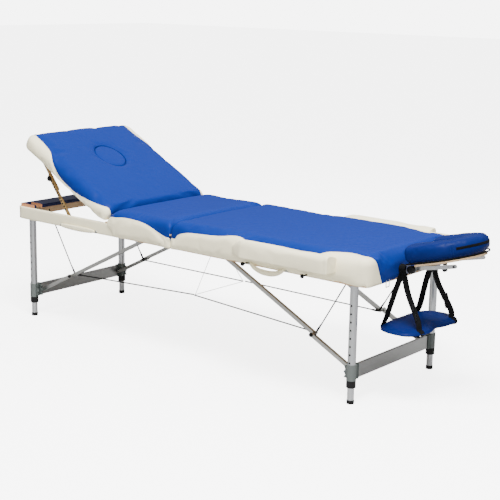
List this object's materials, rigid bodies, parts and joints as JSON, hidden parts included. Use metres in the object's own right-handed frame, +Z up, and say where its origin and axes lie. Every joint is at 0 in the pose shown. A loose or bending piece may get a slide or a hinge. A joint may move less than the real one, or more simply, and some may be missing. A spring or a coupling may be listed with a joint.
{
  "type": "portable massage table",
  "caption": "Folding massage table with a reclining backrest, telescoping legs with cable braces, tilting face cradle, hanging arm shelf and sliding side armrests.",
  "frame": {"origin": "on the floor under the middle of the whole length and width, face cradle included", "axes": "+X along the length towards the face cradle, +Z up, -Y the side with the carrying handles"},
  "size_m": [2.138, 0.732, 0.8134],
  "materials": {
    "frame_rail": "rail wrapped in cream vinyl, satin",
    "navy_board": "navy painted board",
    "plywood": "thin birch plywood",
    "pad_vinyl": "blue and cream soft vinyl over foam",
    "cream_vinyl": "cream soft vinyl",
    "headrest_vinyl": "darker blue soft vinyl",
    "zinc_steel": "zinc plated steel",
    "chrome_wire": "polished wire",
    "aluminium": "satin anodised",
    "grey_casting": "grey cast",
    "black_plastic": "black moulded",
    "rubber_foot": "black rubber",
    "dark_steel": "dark spring steel",
    "prop_wood": "golden hardwood, varnished",
    "cradle_ply": "birch plywood",
    "black_webbing": "woven webbing",
    "dark_cable": "dark coated cable",
    "white_cord": "white braided cord"
  },
  "bodies": {
    "half_a": {"frame_rails_a": "frame_rail", "end_board": "navy_board", "seat_deck": "plywood", "seat_cushion": "pad_vinyl", "frame_fittings_a": "zinc_steel"},
    "half_b": {"frame_rails_b": "frame_rail", "leg_deck": "plywood", "leg_cushion": "pad_vinyl", "frame_fittings_b": "zinc_steel"},
    "carry_handle_a": {"handle_a": "cream_vinyl"},
    "carry_handle_b": {"handle_b": "cream_vinyl"},
    "latch": {"latch_ring": "chrome_wire"},
    "backrest": {"backrest_deck": "plywood", "backrest_cushion": "pad_vinyl"},
    "plug": {"face_plug": "pad_vinyl"},
    "prop_low": {"prop_lower": "prop_wood"},
    "prop_high": {"prop_upper": "prop_wood"},
    "prop_clamps": {"prop_knobs": "black_plastic"},
    "headrest_base": {"headrest_rods": "zinc_steel"},
    "face_cradle": {"cradle_arms": "aluminium", "cradle_plate": "cradle_ply", "headrest_pillow": "headrest_vinyl"},
    "tilt_cam": {"cam_levers": "black_plastic"},
    "arm_sling": {"arm_shelf": "headrest_vinyl", "shelf_straps": "black_webbing"},
    "cord": {"pull_cord": "white_cord"},
    "leg_set_a": {"leg_frame_a": "aluminium", "corner_brackets_a": "grey_casting", "collars_a": "black_plastic"},
    "brace_up_a": {"brace_upper_a": "aluminium"},
    "brace_low_a": {"brace_lower_a": "aluminium"},
    "cable_run_a": {"cable_long_a": "dark_cable"},
    "cable_stay_a": {"cable_short_a": "dark_cable"},
    "leg_near_a": {"inner_leg_near_a": "aluminium", "foot_near_a": "rubber_foot"},
    "button_near_a": {"snap_button_near_a": "dark_steel"},
    "leg_far_a": {"inner_leg_far_a": "aluminium", "foot_far_a": "rubber_foot"},
    "button_far_a": {"snap_button_far_a": "dark_steel"},
    "leg_set_b": {"leg_frame_b": "aluminium", "corner_brackets_b": "grey_casting", "collars_b": "black_plastic"},
    "brace_up_b": {"brace_upper_b": "aluminium"},
    "brace_low_b": {"brace_lower_b": "aluminium"},
    "cable_run_b": {"cable_long_b": "dark_cable"},
    "cable_stay_b": {"cable_short_b": "dark_cable"},
    "leg_near_b": {"inner_leg_near_b": "aluminium", "foot_near_b": "rubber_foot"},
    "button_near_b": {"snap_button_near_b": "dark_steel"},
    "leg_far_b": {"inner_leg_far_b": "aluminium", "foot_far_b": "rubber_foot"},
    "button_far_b": {"snap_button_far_b": "dark_steel"},
    "rest_near": {"armrest_near": "cream_vinyl", "armrest_rods_near": "zinc_steel"},
    "clamp_near_near": {"armrest_knob_near_near": "black_plastic"},
    "clamp_near_far": {"armrest_knob_near_far": "black_plastic"},
    "rest_far": {"armrest_far": "cream_vinyl", "armrest_rods_far": "zinc_steel"},
    "clamp_far_near": {"armrest_knob_far_near": "black_plastic"},
    "clamp_far_far": {"armrest_knob_far_far": "black_plastic"}
  },
  "joints": [
    {"name": "table_fold", "type": "hinge", "parent": "half_a", "child": "half_b", "pos_m": [-0.14395, 0, 0.435], "axis": [0, 1, 0], "range_deg": [0, 180]},
    {"name": "leg_swing_a", "type": "hinge", "parent": "half_a", "child": "leg_set_a", "pos_m": [-0.99895, 0, 0.458], "axis": [0, -1, 0], "range_deg": [0, 90]},
    {"name": "brace_upper_turn_a", "type": "hinge", "parent": "half_a", "child": "brace_up_a", "pos_m": [-0.26395, 0, 0.478], "axis": [0, 1, 0], "range_deg": [0, 27.42]},
    {"name": "brace_lower_turn_a", "type": "hinge", "parent": "leg_set_a", "child": "brace_low_a", "pos_m": [-0.97895, 0, 0.115], "axis": [0, -1, 0], "range_deg": [0, 63.58]},
    {"name": "cable_long_turn_a", "type": "hinge", "parent": "brace_up_a", "child": "cable_run_a", "pos_m": [-0.79622, 0, 0.20777], "axis": [0, -1, 0], "range_deg": [0, 25.89]},
    {"name": "cable_short_turn_a", "type": "hinge", "parent": "half_a", "child": "cable_stay_a", "pos_m": [-0.95895, 0, 0.478], "axis": [0, -1, 0], "range_deg": [0, 59.44]},
    {"name": "handle_swing_a", "type": "hinge", "parent": "half_a", "child": "carry_handle_a", "pos_m": [-0.66995, -0.3085, 0.448], "axis": [-1, 0, 0], "range_deg": [0, 90]},
    {"name": "leg_slide_near_a", "type": "slide", "parent": "leg_set_a", "child": "leg_near_a", "axis": [0, 0, -1], "range_m": [0, 0.18]},
    {"name": "snap_button_near_a", "type": "slide", "parent": "leg_near_a", "child": "button_near_a", "axis": [0, 1, 0], "range_m": [0, 0.004]},
    {"name": "leg_slide_far_a", "type": "slide", "parent": "leg_set_a", "child": "leg_far_a", "axis": [0, 0, -1], "range_m": [0, 0.18]},
    {"name": "snap_button_far_a", "type": "slide", "parent": "leg_far_a", "child": "button_far_a", "axis": [0, -1, 0], "range_m": [0, 0.004]},
    {"name": "leg_swing_b", "type": "hinge", "parent": "half_b", "child": "leg_set_b", "pos_m": [0.71105, 0, 0.458], "axis": [0, 1, 0], "range_deg": [0, 90]},
    {"name": "brace_upper_turn_b", "type": "hinge", "parent": "half_b", "child": "brace_up_b", "pos_m": [-0.02395, 0, 0.478], "axis": [0, -1, 0], "range_deg": [0, 27.42]},
    {"name": "brace_lower_turn_b", "type": "hinge", "parent": "leg_set_b", "child": "brace_low_b", "pos_m": [0.69105, 0, 0.115], "axis": [0, 1, 0], "range_deg": [0, 63.58]},
    {"name": "cable_long_turn_b", "type": "hinge", "parent": "brace_up_b", "child": "cable_run_b", "pos_m": [0.50831, 0, 0.20777], "axis": [0, 1, 0], "range_deg": [0, 25.89]},
    {"name": "cable_short_turn_b", "type": "hinge", "parent": "half_b", "child": "cable_stay_b", "pos_m": [0.67105, 0, 0.478], "axis": [0, 1, 0], "range_deg": [0, 59.44]},
    {"name": "handle_swing_b", "type": "hinge", "parent": "half_b", "child": "carry_handle_b", "pos_m": [0.34805, -0.3085, 0.448], "axis": [-1, 0, 0], "range_deg": [0, 90]},
    {"name": "leg_slide_near_b", "type": "slide", "parent": "leg_set_b", "child": "leg_near_b", "axis": [0, 0, -1], "range_m": [0, 0.18]},
    {"name": "snap_button_near_b", "type": "slide", "parent": "leg_near_b", "child": "button_near_b", "axis": [0, 1, 0], "range_m": [0, 0.004]},
    {"name": "leg_slide_far_b", "type": "slide", "parent": "leg_set_b", "child": "leg_far_b", "axis": [0, 0, -1], "range_m": [0, 0.18]},
    {"name": "snap_button_far_b", "type": "slide", "parent": "leg_far_b", "child": "button_far_b", "axis": [0, -1, 0], "range_m": [0, 0.004]},
    {"name": "cord_turn", "type": "hinge", "parent": "half_a", "child": "cord", "pos_m": [-0.15595, 0, 0.4387], "axis": [0, 1, 0], "range_deg": [0, 92.5]},
    {"name": "backrest_tilt", "type": "hinge", "parent": "half_a", "child": "backrest", "pos_m": [-0.51695, 0, 0.499], "axis": [0, 1, 0], "range_deg": [-28.5, 6.5], "stiffness_Nm_per_rad": 600},
    {"name": "face_plug_slide", "type": "slide", "parent": "backrest", "child": "plug", "axis": [0.4772, 0, 0.8788], "range_m": [0, 0.08]},
    {"name": "prop_lower_swing", "type": "hinge", "parent": "half_a", "child": "prop_low", "pos_m": [-0.76395, 0, 0.482], "axis": [0, 1, 0], "range_deg": [-50.05, 11.8]},
    {"name": "prop_upper_swing", "type": "hinge", "parent": "backrest", "child": "prop_high", "pos_m": [-0.95923, 0, 0.73231], "axis": [0, 1, 0], "range_deg": [-21.55, 5.3]},
    {"name": "prop_knob_turn", "type": "hinge", "parent": "prop_low", "child": "prop_clamps", "pos_m": [-0.87898, 0, 0.62944], "axis": [0, 1, 0], "range_deg": [-90, 90]},
    {"name": "headrest_slide", "type": "slide", "parent": "half_b", "child": "headrest_base", "axis": [1, 0, 0], "range_m": [0, 0.1]},
    {"name": "headrest_tilt", "type": "hinge", "parent": "headrest_base", "child": "face_cradle", "pos_m": [0.84505, 0, 0.487], "axis": [0, -1, 0], "range_deg": [-30, 20], "stiffness_Nm_per_rad": 40},
    {"name": "headrest_cam_turn", "type": "hinge", "parent": "headrest_base", "child": "tilt_cam", "pos_m": [0.84505, 0, 0.487], "axis": [0, 1, 0], "range_deg": [0, 90]},
    {"name": "arm_sling_swing", "type": "hinge", "parent": "headrest_base", "child": "arm_sling", "pos_m": [0.80105, 0, 0.466], "axis": [0, -1, 0], "range_deg": [0, 25]},
    {"name": "latch_ring_swing", "type": "hinge", "parent": "half_b", "child": "latch", "pos_m": [0.78605, 0, 0.463], "axis": [0, -1, 0], "range_deg": [0, 90]},
    {"name": "armrest_near_slide", "type": "slide", "parent": "half_b", "child": "rest_near", "axis": [0, -1, 0], "range_m": [0, 0.03]},
    {"name": "knob_turn_near_near", "type": "hinge", "parent": "half_b", "child": "clamp_near_near", "pos_m": [0.25005, 0, 0.447], "axis": [0, 1, 0], "range_deg": [-90, 90]},
    {"name": "knob_turn_near_far", "type": "hinge", "parent": "half_b", "child": "clamp_near_far", "pos_m": [0.52605, 0, 0.447], "axis": [0, 1, 0], "range_deg": [-90, 90]},
    {"name": "armrest_far_slide", "type": "slide", "parent": "half_b", "child": "rest_far", "axis": [0, 1, 0], "range_m": [0, 0.03]},
    {"name": "knob_turn_far_near", "type": "hinge", "parent": "half_b", "child": "clamp_far_near", "pos_m": [0.25005, 0, 0.447], "axis": [0, 1, 0], "range_deg": [-90, 90]},
    {"name": "knob_turn_far_far", "type": "hinge", "parent": "half_b", "child": "clamp_far_far", "pos_m": [0.52605, 0, 0.447], "axis": [0, 1, 0], "range_deg": [-90, 90]}
  ],
  "couplings": [
    {"joint": "leg_swing_a", "follows": "table_fold", "ratio": 0.5},
    {"joint": "brace_upper_turn_a", "follows": "table_fold", "ratio": 0.14954},
    {"joint": "brace_lower_turn_a", "follows": "table_fold", "ratio": 0.35046},
    {"joint": "cable_long_turn_a", "follows": "table_fold", "ratio": 0.14108},
    {"joint": "cable_short_turn_a", "follows": "table_fold", "ratio": 0.32746},
    {"joint": "handle_swing_a", "follows": "table_fold", "ratio": 0.5},
    {"joint": "leg_swing_b", "follows": "table_fold", "ratio": 0.5},
    {"joint": "brace_upper_turn_b", "follows": "table_fold", "ratio": 0.14954},
    {"joint": "brace_lower_turn_b", "follows": "table_fold", "ratio": 0.35046},
    {"joint": "cable_long_turn_b", "follows": "table_fold", "ratio": 0.14108},
    {"joint": "cable_short_turn_b", "follows": "table_fold", "ratio": 0.32746},
    {"joint": "handle_swing_b", "follows": "table_fold", "ratio": 0.5},
    {"joint": "cord_turn", "follows": "table_fold", "ratio": 0.51111},
    {"joint": "prop_lower_swing", "follows": "backrest_tilt", "ratio": 1.7387},
    {"joint": "prop_upper_swing", "follows": "backrest_tilt", "ratio": 0.73865},
    {"joint": "arm_sling_swing", "follows": "table_fold", "ratio": 0.11111}
  ]
}
